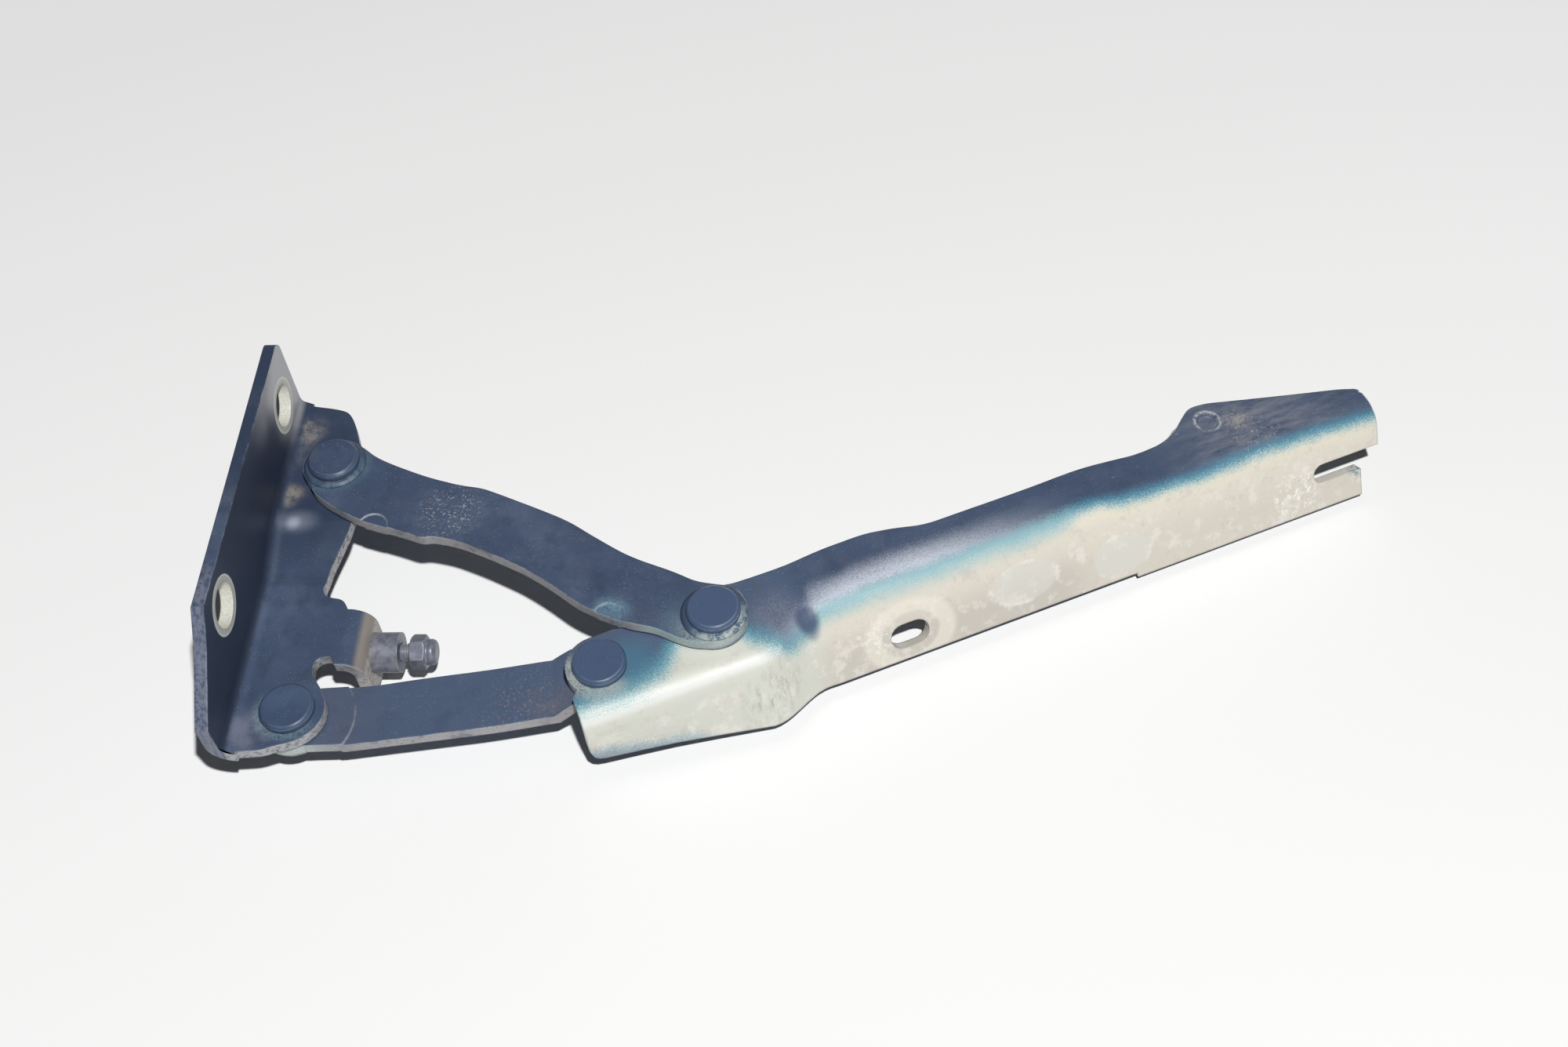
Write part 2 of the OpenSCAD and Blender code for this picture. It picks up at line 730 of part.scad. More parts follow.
module rivet_bracket_lower() {
    color(paint)
        rivet(pivot_bl, shank_d, level(1), below(2) - end_gap - rim_t);
}

module bush_bracket_upper() {
    color(zinc)
        bush(pivot_bu, shank_d, level(-1) + rim_t, rim_t, below(-1));
}

module bush_arm_upper() {
    color(zinc)
        bush(pivot_au, arm_shank_d, level(-1) + rim_t, rim_t, below(-1));
}

module bush_arm_lower() {
    color(bronze)
        bush(pivot_al, shank_d, level(1) + inner_h, inner_h, below(1));
}

module bush_bracket_lower() {
    color(bronze)
        bush(pivot_bl, shank_d, level(2) + inner_h, inner_h, below(2));
}

module spacer_bracket_upper() {
    color(bronze)
        ring(pivot_bu, shank_d, level(0) + inner_h, inner_h);
}

module spacer_arm_upper() {
    color(bronze)
        ring(pivot_au, arm_shank_d, below(-1), inner_h);
}

module washer_arm_upper() {
    color(zinc)
        ring(pivot_au, arm_shank_d, below(0) - end_gap, rim_t);
}

module washer_arm_lower() {
    color(zinc)
        ring(pivot_al, shank_d, below(1) - end_gap, rim_t, small_washer_d);
}

module washer_bracket_lower() {
    color(zinc)
        ring(pivot_bl, shank_d, below(2) - end_gap, rim_t);
}

body_bracket();
stop_boss();
stop_screw();
upper_link();
lower_link();
bonnet_arm();
rivet_bracket_upper();
rivet_arm_upper();
rivet_arm_lower();
rivet_bracket_lower();
bush_bracket_upper();
bush_arm_upper();
bush_arm_lower();
bush_bracket_lower();
spacer_bracket_upper();
spacer_arm_upper();
washer_arm_upper();
washer_arm_lower();
washer_bracket_lower();
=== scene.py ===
# %% [markdown]
# # Dressing a bonnet hinge
#
# The solids of a pressed steel bonnet hinge come packed from the CAD model. This lesson gives them the
# look of a used part: dark blue paint over pale primer, rubbed edges, bare rings where bolts sat, and
# brown dust in the corners. Lengths below are written in millimetres and turned into metres by MM.

# %% Load the packed hinge
import math

import bpy
from mathutils import Matrix, Vector


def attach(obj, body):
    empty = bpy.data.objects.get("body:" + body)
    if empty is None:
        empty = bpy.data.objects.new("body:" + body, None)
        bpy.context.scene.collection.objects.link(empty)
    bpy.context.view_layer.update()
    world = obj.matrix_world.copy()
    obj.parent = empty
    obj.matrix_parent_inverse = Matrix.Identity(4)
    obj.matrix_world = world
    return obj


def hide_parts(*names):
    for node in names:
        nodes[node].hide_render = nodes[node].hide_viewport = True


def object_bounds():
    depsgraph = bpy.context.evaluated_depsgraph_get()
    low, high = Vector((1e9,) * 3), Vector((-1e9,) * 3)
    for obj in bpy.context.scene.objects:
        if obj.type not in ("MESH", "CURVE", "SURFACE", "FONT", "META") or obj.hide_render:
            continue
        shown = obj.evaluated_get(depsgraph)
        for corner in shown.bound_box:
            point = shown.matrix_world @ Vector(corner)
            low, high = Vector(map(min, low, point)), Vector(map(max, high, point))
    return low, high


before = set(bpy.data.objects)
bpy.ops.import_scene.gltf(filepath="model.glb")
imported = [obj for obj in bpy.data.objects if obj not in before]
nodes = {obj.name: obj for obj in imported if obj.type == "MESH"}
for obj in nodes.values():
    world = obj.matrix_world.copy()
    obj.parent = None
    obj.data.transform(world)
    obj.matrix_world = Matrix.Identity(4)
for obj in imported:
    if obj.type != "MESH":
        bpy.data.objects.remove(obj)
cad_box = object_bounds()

MM = 0.001
scene = bpy.context.scene

# %% [markdown]
# ## The camera
#
# The hinge lies flat and is seen from its front, at about forty degrees from straight above. The place
# and direction were fitted to the round rivet heads and bolt holes, whose ellipses tell the tilt, and
# could also be found by eye. Depth of field stays off, so that every edge can be judged.

# %% Set the camera
CAMERA_PLACE = (0.1986, -0.2928, 0.4190)
CAMERA_RIGHT = (0.99889, 0.01787, -0.04382)
CAMERA_BACK = (0.04565, -0.60819, 0.79250)
LENS = 39.04
SENSOR = 36.0
NEAREST = 0.01
camera_data = bpy.data.cameras.new("camera")
camera_data.lens = LENS
camera_data.sensor_width = SENSOR
camera_data.clip_start = NEAREST
camera = bpy.data.objects.new("camera", camera_data)
scene.collection.objects.link(camera)
camera_right = Vector(CAMERA_RIGHT).normalized()
camera_back = Vector(CAMERA_BACK).normalized()
camera_turn = Matrix((camera_right, camera_back.cross(camera_right), camera_back)).transposed()
camera.matrix_world = Matrix.Translation(CAMERA_PLACE) @ camera_turn.to_4x4()
scene.camera = camera
scene.view_settings.view_transform = "Standard"
print("camera", [round(v, 3) for v in camera.location])

# %% [markdown]
# ## Wires and benches
#
# Worn paint is many small decisions: how far is this point from a hole, is this a cut edge, has a hand
# rubbed here. Each one is a number at every point, so it reads best as plain arithmetic. A Wire is such a
# number, and Python's own operators add the Math nodes. A Bench holds one tree of nodes, and its node
# method adds every other node.

# %% Make the wire
class Wire:
    """A value that changes from point to point, as one output of a node."""

    def __init__(self, bench, socket):
        self.bench = bench
        self.socket = socket

    def math(self, operation, *terms):
        return self.bench.node("ShaderNodeMath", {"operation": operation}, terms)

    def __add__(self, other):
        return self.math("ADD", self, other)

    def __sub__(self, other):
        return self.math("SUBTRACT", self, other)

    def __rsub__(self, other):
        return self.math("SUBTRACT", other, self)

    def __mul__(self, other):
        return self.math("MULTIPLY", self, other)

    def __truediv__(self, other):
        return self.math("DIVIDE", self, other)

    def __pow__(self, other):
        return self.math("POWER", self, other)

    def __abs__(self):
        return self.math("ABSOLUTE", self)

    __radd__ = __add__
    __rmul__ = __mul__


print("wire operators:", ", ".join(name for name in vars(Wire) if name.endswith("__") and "init" not in name))


# %% Make the bench
class Bench:
    """A tree of nodes that is being wired up."""

    def __init__(self, tree):
        self.tree = tree

    def feed(self, node, values):
        """Joins wires to a node's inputs, and sets the others."""
        for key, value in values.items() if isinstance(values, dict) else enumerate(values):
            if isinstance(value, Wire):
                self.tree.links.new(value.socket, node.inputs[key])
            else:
                node.inputs[key].default_value = value

    def node(self, kind, settings=None, values=(), out=0):
        """Adds a node, sets it up, feeds it, and returns one of its outputs."""
        made = self.tree.nodes.new(kind)
        for key, value in (settings or {}).items():
            if key == "curve":
                self.draw(made.mapping, value)
            else:
                setattr(made, key, value)
        self.feed(made, values)
        return Wire(self, made.outputs[out])

    def draw(self, mapping, points):
        """Puts the points of a line into a curve node."""
        line = mapping.curves[0].points
        line[0].location, line[1].location = points[0], points[-1]
        for point in points[1:-1]:
            line.new(*point)
        mapping.update()

    def split(self, vector):
        """The three parts of a vector."""
        made = self.node("ShaderNodeSeparateXYZ", None, {"Vector": vector})
        return [Wire(self, socket) for socket in made.socket.node.outputs]

    def step(self, value, low, high):
        """Rises softly from 0 at low to 1 at high, or falls where low is the larger."""
        return self.node("ShaderNodeMapRange", {"interpolation_type": "SMOOTHSTEP"},
                         {"Value": value, "From Min": low, "From Max": high})

    def mix(self, first, second, share):
        """A colour between two, the second where share is 1."""
        return self.node("ShaderNodeMix", {"data_type": "RGBA"}, {0: share, 6: first, 7: second}, 2)

    def reach(self, x, y, centre):
        """Distance in millimetres from a centre, in any two directions."""
        dx, dy = x - centre[0], y - centre[1]
        return (dx * dx + dy * dy) ** 0.5

    def spot(self, x, y, centre, inner, outer):
        """1 inside a soft round spot, 0 outside it."""
        return self.step(self.reach(x, y, centre), outer, inner)

    def curve(self, value, points):
        """A height read from a line of given points."""
        xs, ys = [p[0] for p in points], [p[1] for p in points]
        low, wide = min(xs), max(xs) - min(xs)
        base, tall = min(ys), max(ys) - min(ys)
        unit = [((x - low) / wide, (y - base) / tall) for x, y in points]
        drawn = self.node("ShaderNodeFloatCurve", {"curve": unit},
                          {"Factor": 1.0, "Value": (value - low) / wide})
        return drawn * tall + base


print("bench methods:", ", ".join(name for name in vars(Bench) if not name.startswith("__")))

# %% [markdown]
# ## A bench for paint
#
# A material's bench knows each point's place in the hinge's own millimetres and the way it faces. Those
# places belong to the piece, so a mark stays where it is when the hinge moves. Noise is measured the same
# way, so that its lumps can be given in millimetres.

# %% Make the paint bench
class PaintBench(Bench):
    """The tree of one material, with each point's place and facing at hand."""

    def __init__(self, name):
        self.material = bpy.data.materials.new(name)
        self.material.use_nodes = True
        super().__init__(self.material.node_tree)
        self.surface = self.tree.nodes["Principled BSDF"]
        metres = self.node("ShaderNodeTexCoord", out="Object")
        self.place = self.node("ShaderNodeVectorMath", {"operation": "SCALE"},
                               {"Vector": metres, "Scale": 1 / MM})
        self.x, self.y, self.z = self.split(self.place)
        self.nx, _, self.nz = self.split(self.node("ShaderNodeTexCoord", out="Normal"))

    def noise(self, size, detail=4.0, rough=0.6, shift=0.0, stretch=(1, 1, 1), place=None):
        """Cloudy values about 0.5, in lumps about size millimetres across."""
        moved = self.node("ShaderNodeMapping", None,
                          {"Vector": place or self.place, "Location": (shift, shift * 1.7, shift * 0.6),
                           "Scale": stretch})
        return self.node("ShaderNodeTexNoise", None,
                         {"Vector": moved, "Scale": 1 / size, "Detail": detail, "Roughness": rough})


def tone(red, green, blue):
    """The linear colour of a tone that is written as 0 to 255."""
    def linear(v):
        v = v / 255
        return v / 12.92 if v <= 0.04045 else ((v + 0.055) / 1.055) ** 2.4
    return (linear(red), linear(green), linear(blue), 1.0)


print("middle grey is", [round(v, 3) for v in tone(128, 128, 128)])

# %% [markdown]
# ## Light
#
# The part lies on white card under one small lamp that hangs above the camera, so the shadows are dark
# and stay close behind the edges, and the room adds a little light from all sides. A first place for the
# lamp came from nicks in the links' edges and the same nicks in their shadows. It was then moved until
# the floor seen through the bolt holes fell dark. A sun lamp would shine at one angle everywhere,
# so a point lamp is used, and its Light Falloff is set to Constant to light the whole card evenly.

# %% Hang the lamp
LAMP_PLACE = (0.270, -0.288, 0.650)
LAMP_RADIUS = 0.012
LAMP_STRENGTH = 40.2
lamp_data = bpy.data.lights.new("lamp", "POINT")
lamp_data.shadow_soft_size = LAMP_RADIUS
lamp_data.energy = 1.0
lamp_data.use_nodes = True
lamp_bench = Bench(lamp_data.node_tree)
lamp_bench.feed(lamp_bench.tree.nodes["Emission"], {"Strength": lamp_bench.node(
    "ShaderNodeLightFalloff", None, {"Strength": LAMP_STRENGTH}, "Constant")})
lamp = bpy.data.objects.new("lamp", lamp_data)
lamp.location = LAMP_PLACE
scene.collection.objects.link(lamp)
print("lamp of strength", LAMP_STRENGTH, "at", LAMP_PLACE)

# %% [markdown]
# The lamp and the room together light a level surface with about one, so that a colour renders as it is
# written. The camera sees the room as a pale backdrop, which lights nothing. Glossy surfaces see a room
# that is brighter than its light, but much dimmer than the backdrop, to keep the navy dark. Even so it
# lifts the paint by a few levels of 255.

# %% Light the room
ROOM_LIGHT = 0.045
BACKDROP = 0.92
GLOSS_LIGHT = 0.22
WHITE = (1.0, 1.0, 1.0, 1.0)
room = bpy.data.worlds.new("room")
room.use_nodes = True
room_bench = Bench(room.node_tree)
room_level = ROOM_LIGHT
for ray, brightness in (("Is Camera Ray", BACKDROP), ("Is Glossy Ray", GLOSS_LIGHT),
                        ("Is Transmission Ray", GLOSS_LIGHT)):
    is_ray = room_bench.node("ShaderNodeLightPath", out=ray)
    room_level = room_bench.node("ShaderNodeMapRange", None,
                                 {"Value": is_ray, "To Min": room_level, "To Max": brightness})
room_bench.feed(room_bench.tree.nodes["Background"], {"Color": WHITE, "Strength": room_level})
scene.world = room
print("room light", ROOM_LIGHT, "backdrop", BACKDROP)

# %% [markdown]
# ## The card underneath
#
# The part lies on a sheet of white card. A large square just under it is enough. Its colour is nearly
# white, and a touch whiter far out where the lamp's light comes in flatter, so that the shadow of the part
# stays the only dark thing on it. The real hinge's shadows are too thick for an edge that touches the card.
# Something hidden, perhaps a rivet's tail, may hold it up, so the card lies a few millimetres under the
# lowest edge. Far out the card also glows for the camera alone, because the small lamp leaves its far end
# grey, and that glow lights nothing.

# %% Lay the card
CARD_SIZE = 4.0
CARD_GAP = 3.0
CARD_MIDDLE = (190, 40)
BLACK = (0.0, 0.0, 0.0, 1.0)
FAR_GLOW = (0.85, 0.85, 0.85, 1.0)
card_bench = PaintBench("white_card")
card_reach = card_bench.reach(card_bench.x, card_bench.y, CARD_MIDDLE)
card_tone = card_bench.mix(tone(248, 248, 247), tone(255, 255, 255),
                           card_bench.step(card_reach, 120, 480))
card_glow = card_bench.mix(BLACK, FAR_GLOW, card_bench.step(card_reach, 380, 1700)
                           * card_bench.node("ShaderNodeLightPath", out="Is Camera Ray"))
card_bench.feed(card_bench.surface, {"Base Color": card_tone, "Roughness": 0.9, "Specular IOR Level": 0.1,
                                     "Emission Color": card_glow, "Emission Strength": 1.0})
card_mesh = bpy.data.meshes.new("card")
floor_z = cad_box[0][2] - CARD_GAP * MM
card_mesh.from_pydata([(x * CARD_SIZE, y * CARD_SIZE, floor_z) for x, y in
                       ((-1, -1), (1, -1), (1, 1), (-1, 1))], [], [(0, 1, 2, 3)])
card = bpy.data.objects.new("card", card_mesh)
card_mesh.materials.append(card_bench.material)
scene.collection.objects.link(card)
print("card at", round(floor_z / MM, 2), "mm")

# %% [markdown]
# ## Dark blue paint
#
# The body colour was sprayed over primer on every plate. It has gone cloudy with age, slightly purple in
# places, full of fine pale specks, and a little glossy. Layers of noise of several sizes give the clouds,
# the purple and the specks. The same recipe serves all the blue pieces, so that they look like one coat.

# %% Mix the blue paint
NAVY = tone(53, 67, 93)
NAVY_FADED = tone(78, 94, 120)
NAVY_WORN = tone(80, 94, 118)
NAVY_DEEP = tone(44, 56, 78)
PURPLE = tone(88, 86, 100)
PALE_SPECK = tone(150, 156, 168)
BARE_EDGE = tone(208, 206, 204)
DUST = tone(146, 139, 132)


def blue_paint(b, shift=0.0, fade=0.0):
    """The blue coat's colour at every point, paler where more sun has faded it."""
    cloud = b.step(b.noise(22, 5, 0.62, shift), 0.42, 0.72)
    deep = b.step(b.noise(9, 4, 0.6, shift + 40), 0.5, 0.68)
    purple = b.step(b.noise(12, 5, 0.7, shift + 90), 0.54, 0.72)
    speck = b.step(b.noise(0.5, 2, 0.5, shift), 0.62, 0.7)
    speck = speck * b.step(b.noise(10, 4, 0.7, shift + 9), 0.4, 0.6)
    colour = b.mix(b.mix(NAVY, NAVY_FADED, fade), NAVY_WORN, cloud)
    colour = b.mix(colour, NAVY_DEEP, (0.5 - 0.4 * fade) * deep)
    colour = b.mix(colour, PURPLE, 0.45 * purple)
    return b.mix(colour, PALE_SPECK, 0.42 * speck)


print("navy", [round(v, 3) for v in NAVY[:3]], "faded", [round(v, 3) for v in NAVY_FADED[:3]])

# %% [markdown]
# ## Rounded edges and the coat's surface
#
# No sheared or pressed edge is quite sharp. The Bevel node turns the normal as if the edge were rounded,
# and where that normal leaves the true one there is an edge to rub. Modelled fillets would do the same,
# but the solids stay as they were packed. Fine noise, as a bump, gives the coat its slight orange peel.

# %% Round the edges and finish a surface
EDGE_STARTS, EDGE_FULL = 0.995, 0.82
BUMP_STRENGTH = 0.5


def rounded(b, radius, samples=6):
    """The normal with its edges rounded off, and how near an edge is from 0 to 1."""
    normal = b.node("ShaderNodeBevel", {"samples": samples}, {"Radius": radius * MM})
    flat = b.node("ShaderNodeNewGeometry", out="True Normal")
    level = b.node("ShaderNodeVectorMath", {"operation": "DOT_PRODUCT"}, (normal, flat), "Value")
    return normal, b.step(level, EDGE_STARTS, EDGE_FULL)


def smoothed(b, normal, share):
    """Turns a normal towards straight up, to hide a crease that the real metal flows over."""
    kept = b.node("ShaderNodeVectorMath", {"operation": "SCALE"}, {"Vector": normal, "Scale": 1 - share})
    up = b.node("ShaderNodeVectorMath", {"operation": "SCALE"}, {"Vector": (0, 0, 1), "Scale": share})
    return b.node("ShaderNodeVectorMath", {"operation": "ADD"}, (kept, up))


def finish_surface(b, colour, rough, normal, relief, depth=0.04, metallic=0.0):
    """Joins colour, roughness and relief to the surface and returns the material."""
    bump = b.node("ShaderNodeBump", None, {"Strength": BUMP_STRENGTH, "Distance": depth * MM,
                                           "Height": relief, "Normal": normal})
    b.feed(b.surface, {"Base Color": colour, "Roughness": rough, "Normal": bump, "Metallic": metallic})
    return b.material


def dress(names, material):
    """Gives CAD nodes a material in place of the packed one."""
    for name in names:
        mesh = nodes[name].data
        mesh.materials.clear()
        mesh.materials.append(material)
    print(material.name, "on", ", ".join(names))


print("edges count from", EDGE_STARTS, "and are full at", EDGE_FULL)

# %% [markdown]
# ## The body bracket
#
# The bracket was bolted to the body side through its tall flange, and the bolts kept the paint off: each
# hole has a bare ring the width of a washer, and its wall is cream. Dust has gathered in the fold, and the
# cut edges are rubbed to grey. All these places are known, so they are circles and bands measured from
# the holes and the fold. An image painted by hand would do too, but it would have to be unwrapped first.

# %% Mark the pivots and the bolt holes
P1 = (22.3, 67.4)
P2 = (152.45, 5.32)
P3 = (117.51, -10.16)
P4 = (21.2, -22.5)
BOLT_HOLES = ((0.0, 0.0), (85.3, -4.7))
BOLT_HOLE_R = 7.25
WASHER_MARK_R = 9.6
print("pivots", P1, P2, P3, P4, "bolt holes", BOLT_HOLES)

# %% Coat the bracket
FLANGE_DARK = tone(35, 45, 62)
FLANGE_CLOUD = tone(46, 54, 72)
BOLT_HAZE = tone(176, 176, 182)
STREAKED_EDGE = tone(128, 132, 148)


def facing_up(b):
    """1 on the faces that look up."""
    return b.step(b.nz, 0.5, 0.8)


def bracket_coat(b, wide):
    """The blue coat, darker on the web's upper half and on the flange's inner face."""
    colour = blue_paint(b, 0, 0.35 * b.step(b.y, 60, 0))
    colour = b.mix(colour, NAVY_DEEP, 0.6 * b.step(b.y, 22, 44) * facing_up(b))
    on_flange = b.step(b.nx, 0.5, 0.9)
    colour = b.mix(colour, b.mix(FLANGE_DARK, FLANGE_CLOUD, wide), on_flange * 0.92)
    haze = b.spot(b.y, b.z, (93, -4), 5, 25) + 0.45 * b.step(b.y, 48, 74) * b.step(b.z, -4, 8)
    haze = b.step(haze * (0.7 + 0.6 * wide), 0, 1)
    return b.mix(colour, BOLT_HAZE, on_flange * haze * 0.9)


def streaked_edge(b, colour):
    """The flange's outer edge, paler and streaked below the lower bolt."""
    streak = b.step(b.noise(1.4, 4, 0.7, 3, (1, 1, 0.25)), 0.36, 0.6)
    low_edge = b.step(b.y, 12, -4) * b.step(b.x, 4.2, 3.8) * b.step(b.nx, 0.6, 0.3)
    return b.mix(colour, STREAKED_EDGE, low_edge * streak * 0.75)


print("flange's inner face", [round(v, 3) for v in FLANGE_DARK[:3]])

# %% Paint a highlight and a shade on the web, wear it and gather dust
FOLD_GLINT = tone(168, 176, 190)
FOOT_WEAR = tone(132, 134, 150)
JOGGLE_Y = 27
LUG_DUST_STARTS, LUG_DUST_FULL = 36.8, 40.2


def web_highlight_shade_and_wear(b, colour, wide):
    """A painted highlight where the fold bulges, a painted shade along the joggle's crease, and a worn corner
    at its foot.
    """
    # Painted highlight: a pale glint on the fold's bulge.
    glint = 0.55 * b.spot(b.x, b.y, (10.7, 46.8), 0.3, 3.6)
    glint = glint + 0.45 * b.spot(b.x * 0.6, b.y, (7.0, 47.5), 0, 6)
    colour = b.mix(colour, FOLD_GLINT, glint * facing_up(b) * 0.85)
    # Painted shade: the joggle's crease is darkened with the deep blue.
    colour = b.mix(colour, NAVY_DEEP, b.step(abs(b.y - JOGGLE_Y), 3.5, 0) * facing_up(b) * 0.45)
    foot = b.spot(b.x, b.y, (10.5, -30), 1, 11) * facing_up(b)
    return b.mix(colour, FOOT_WEAR, foot * b.step(wide, 0.3, 0.6) * 0.6)


def bracket_dust(b, fine, wide):
    """How much brown dust lies in the fold by the upper pivot, on the lug and by the lower rivet."""
    fold = (b.spot(b.x, b.y, (9, 87), 2, 9) + b.spot(b.x, b.y, (7.5, 58), 1, 8)
            + 0.4 * b.spot(b.x, b.y, (8, 76), 1, 8))
    fold = fold * b.step(b.x, 4.5, 7.5) * b.step(b.nz, 0.3, 0.7)
    lug = b.step(b.x, LUG_DUST_STARTS, LUG_DUST_FULL) * b.step(b.y, 26, 18) * 1.7
    lug = lug + b.spot(b.x, b.y, (15, -27), 1, 9) * 0.35
    return fold * b.step(wide, 0.2, 0.6) * b.step(fine, 0.15, 0.5) + lug * (0.6 + 0.4 * wide)


print("dust on the lug from", LUG_DUST_STARTS, "to", LUG_DUST_FULL, "mm")

# %% Rub the bracket's edges and bare its bolt rings
RUBBED_RIM = tone(176, 188, 196)
EAR_RIM = tone(120, 150, 156)
WASHER_GREY = tone(166, 169, 162)
WASHER_PALE = tone(200, 203, 196)
WASHER_RIM = tone(214, 216, 208)
HOLE_CREAM = tone(238, 234, 218)


def rubbed_edges(b, colour, edge, fine, wide):
    """Grey cut edges and rims, and a worn rim round the lower rivet's ear."""
    cut = b.step(abs(b.nz), 0.45, 0.2) * b.step(b.x, 4.4, 5.2) * b.step(b.z, -16, -18)
    colour = b.mix(colour, BARE_EDGE, cut * b.step(b.noise(1.4, 4, 0.7, 3), 0.3, 0.56) * 0.62)
    rim = edge * b.step(wide, 0.42, 0.62) * b.step(fine, 0.3, 0.5)
    colour = b.mix(colour, RUBBED_RIM, rim * 0.45)
    ear = b.spot(b.x, b.y, P4, 9.4, 12.2) * b.step(b.y + b.x * 0.5, -8, -18)
    return b.mix(colour, EAR_RIM, ear * b.step(fine, 0.3, 0.6) * 0.5)


def bolt_rings(b, colour, fine):
    """A bare washer mark with a pale rim round each bolt hole, the hole's cream wall, and where."""
    bare = 0.0
    for hole in BOLT_HOLES:
        reach = b.reach(b.y, b.z, hole) + fine * 0.3
        ring = b.step(reach, WASHER_MARK_R + 0.35, WASHER_MARK_R) * b.step(b.x, 5, 4.6)
        rim = ring * b.step(reach, WASHER_MARK_R - 0.7, WASHER_MARK_R - 0.2)
        wall = b.step(reach, BOLT_HOLE_R + 0.25, BOLT_HOLE_R) * b.step(b.x, 4.3, 4.1)
        colour = b.mix(colour, b.mix(WASHER_GREY, WASHER_PALE, fine), ring)
        colour = b.mix(colour, WASHER_RIM, rim * 0.8)
        colour = b.mix(colour, HOLE_CREAM, wall)
        bare = ring + bare
    return colour, b.step(bare, 0, 1)


print("washer marks reach", WASHER_MARK_R, "mm round", len(BOLT_HOLES), "holes")

# %% Paint the bracket
def bracket_material():
    b = PaintBench("bracket_paint")
    normal, edge = rounded(b, 0.8)
    fine = b.noise(0.9, 3, 0.6)
    wide = b.noise(7, 5, 0.65, 13)
    dust = bracket_dust(b, fine, wide)
    colour = streaked_edge(b, bracket_coat(b, wide))
    colour = web_highlight_shade_and_wear(b, colour, wide)
    colour = b.mix(colour, DUST, b.step(dust, 0.0, 1.2) * 0.9)
    colour = rubbed_edges(b, colour, edge, fine, wide)
    colour, bare = bolt_rings(b, colour, fine)
    rough = 0.34 + 0.16 * wide + 0.2 * dust + 0.1 * bare
    return finish_surface(b, colour, rough, normal, 0.6 * fine + 0.4 * b.noise(3, 3, 0.5), 0.05)


dress(["body_bracket"], bracket_material())

# %% [markdown]
# ## The links
#
# Both links are stamped strips. Their cut edges are rough from shearing and have lost most of their paint,
# while the flat tops keep it, with a pale rim where the two meet. The upper link thins to a pale teal
# round the rivet that joins it to the arm, and round the pad pressed in beside it. The lower link climbs
# to the arm in a joggle, whose creases are shaded away because the real metal flows over them.

# %% Shear the links' edges
SHEAR_SHADE = tone(146, 142, 144)
PALE_STRETCH = tone(196, 212, 208)
LINK_RIM = tone(196, 200, 206)


def cut_edge_mask(b):
    """1 on the sheared sides of a flat plate."""
    return b.step(abs(b.nz), 0.5, 0.25)


def sheared_edge(b, colour, cut, shear, wide, pale_edge):
    """A cut edge with most of its paint gone, and one stretch of it paler."""
    bare = b.mix(BARE_EDGE, SHEAR_SHADE, shear)
    colour = b.mix(colour, bare, cut * b.step(shear, 0.3, 0.5) * b.step(wide, 0.25, 0.5) * 0.85)
    return b.mix(colour, PALE_STRETCH, cut * b.spot(b.x, b.y, *pale_edge) * 0.8)


def softened_climb(b, normal, edge, climb):
    """Shades away a joggle's creases from one place to another along the link."""
    start, end, angle = climb
    run = (b.x - P4[0]) * math.cos(angle) + (b.y - P4[1]) * math.sin(angle)
    bend = b.step(run, start - 3, start) * b.step(run, end + 3, end) * b.step(b.nz, 0.4, 0.7)
    return smoothed(b, normal, 0.9 * bend), edge * (1 - bend)


print("bare edges", [round(v, 3) for v in BARE_EDGE[:3]], "shaded", [round(v, 3) for v in SHEAR_SHADE[:3]])

# %% Wear the links' tops
GRIT = tone(172, 170, 172)
UPPER_GRIT = ((64, 47), 2, 15)
LOWER_GRIT = ((92, -17), 2, 22)


def worn_place(b, colour, rub, centre, inner, outer, tint, share, towards):
    """A soft worn place round a centre, strongest on the side that it lies towards."""
    side = (b.x - centre[0]) * towards[0] + (b.y - centre[1]) * towards[1]
    worn = b.spot(b.x, b.y, centre, inner, outer) * b.step(side, -outer * 0.5, outer * 0.7)
    return b.mix(colour, tint, worn * rub * share)


def link_material(name, shift, fade, worn_places, pale_edge, climb=None):
    """A blue link, with its worn places, the pale stretch of its edge, and its climb if it has one."""
    b = PaintBench(name)
    normal, edge = rounded(b, 0.7)
    fine = b.noise(0.8, 3, 0.6, shift)
    wide = b.noise(8, 5, 0.65, shift + 7)
    shear = b.noise(1.1, 4, 0.75, shift, (1, 1, 2.4))
    cut = cut_edge_mask(b)
    if climb:
        normal, edge = softened_climb(b, normal, edge, climb)
    colour = sheared_edge(b, blue_paint(b, shift, fade), cut, shear, wide, pale_edge)
    colour = b.mix(colour, LINK_RIM, edge * b.step(wide, 0.36, 0.6) * b.step(fine, 0.3, 0.55) * 0.65)
    rub = b.step(fine * 0.7 + wide * 0.6, 0.42, 0.8)
    for place in worn_places:
        colour = worn_place(b, colour, rub, *place)
    grit = b.spot(b.x, b.y, *UPPER_GRIT) + 0.25 * b.spot(b.x, b.y, *LOWER_GRIT)
    grit = grit * b.step(b.noise(0.9, 2, 0.6, shift + 3), 0.56, 0.64) * b.step(wide, 0.3, 0.5)
    colour = b.mix(colour, GRIT, grit * 0.8)
    rough = 0.34 + 0.16 * wide + 0.15 * cut
    return finish_surface(b, colour, rough, normal, 0.5 * fine + cut * shear, 0.06)


print("grit round", UPPER_GRIT[0], "and", LOWER_GRIT[0])

